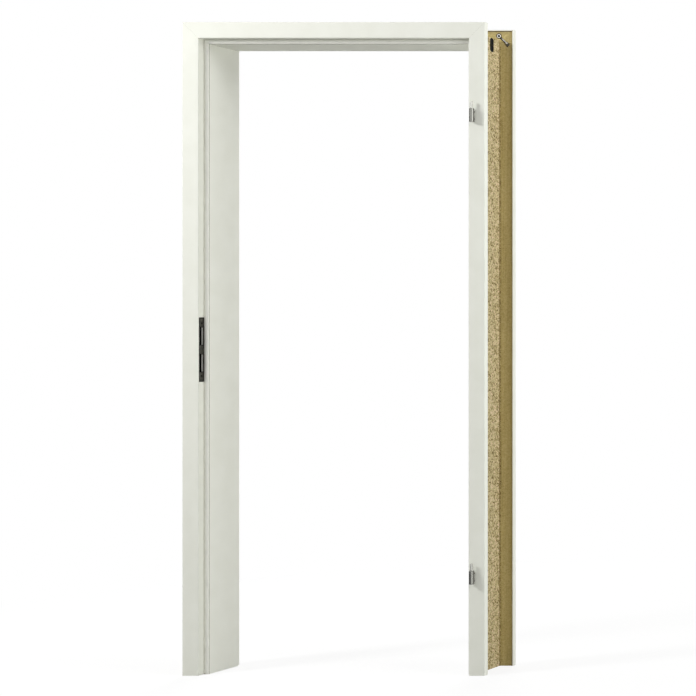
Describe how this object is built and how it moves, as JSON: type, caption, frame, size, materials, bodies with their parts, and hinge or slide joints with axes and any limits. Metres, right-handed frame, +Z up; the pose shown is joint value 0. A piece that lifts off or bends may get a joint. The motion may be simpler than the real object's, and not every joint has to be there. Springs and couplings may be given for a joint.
{
  "type": "door frame",
  "caption": "Wrap-around timber door frame: linings, mitred architraves, rebate seal, strike plate and hinge halves; the rear trim slides out to suit the wall.",
  "frame": {"origin": "middle of the frame's footprint on the floor: halfway between the jambs, and halfway between the front of the hinge knuckles and the back of the rear architrave", "axes": "+X to the hinge side as seen from the rebated face, +Y from the rebated face into the wall, +Z up"},
  "size_m": [0.948, 0.1833, 2.0365],
  "materials": {
    "white_board": "white lacquered chipboard",
    "seal_rubber": "soft off-white",
    "strike_steel": "satin",
    "black_plastic": "moulded",
    "zinc_screws": "zinc plated",
    "hinge_nickel": "nickel plated",
    "zinc_steel": "zinc plated",
    "beech_biscuit": "pressed beech"
  },
  "bodies": {
    "frame": {"lining_lock_side": "white_board", "lining_hinge_side": "white_board", "lining_head": "white_board", "rebate_architrave_lock_side": "white_board", "rebate_architrave_hinge_side": "white_board", "rebate_architrave_head": "white_board", "seal_lock_side": "seal_rubber", "seal_hinge_side": "seal_rubber", "seal_head": "seal_rubber", "strike_plate": "strike_steel", "strike_box": "black_plastic", "strike_plate_screws": "zinc_screws", "upper_hinge_knuckle": "hinge_nickel", "upper_hinge_studs": "hinge_nickel", "upper_hinge_pin": "hinge_nickel", "upper_hinge_receiver": "zinc_steel", "upper_hinge_clamp_screws": "zinc_screws", "upper_hinge_receiver_screws": "zinc_screws", "lower_hinge_knuckle": "hinge_nickel", "lower_hinge_studs": "hinge_nickel", "lower_hinge_pin": "hinge_nickel", "lower_hinge_receiver": "zinc_steel", "lower_hinge_clamp_screws": "zinc_screws", "lower_hinge_receiver_screws": "zinc_screws", "corner_connectors": "black_plastic", "corner_connector_screws": "zinc_screws", "mitre_biscuits": "beech_biscuit"},
    "rear_trim": {"rear_architrave_lock_side": "white_board", "rear_architrave_hinge_side": "white_board", "rear_architrave_head": "white_board", "mitre_cams": "zinc_steel", "mitre_bolts": "zinc_steel"}
  },
  "joints": [
    {"name": "rear_trim_slide", "type": "slide", "parent": "frame", "child": "rear_trim", "axis": [0, 1, 0], "range_m": [0, 0.015]}
  ]
}
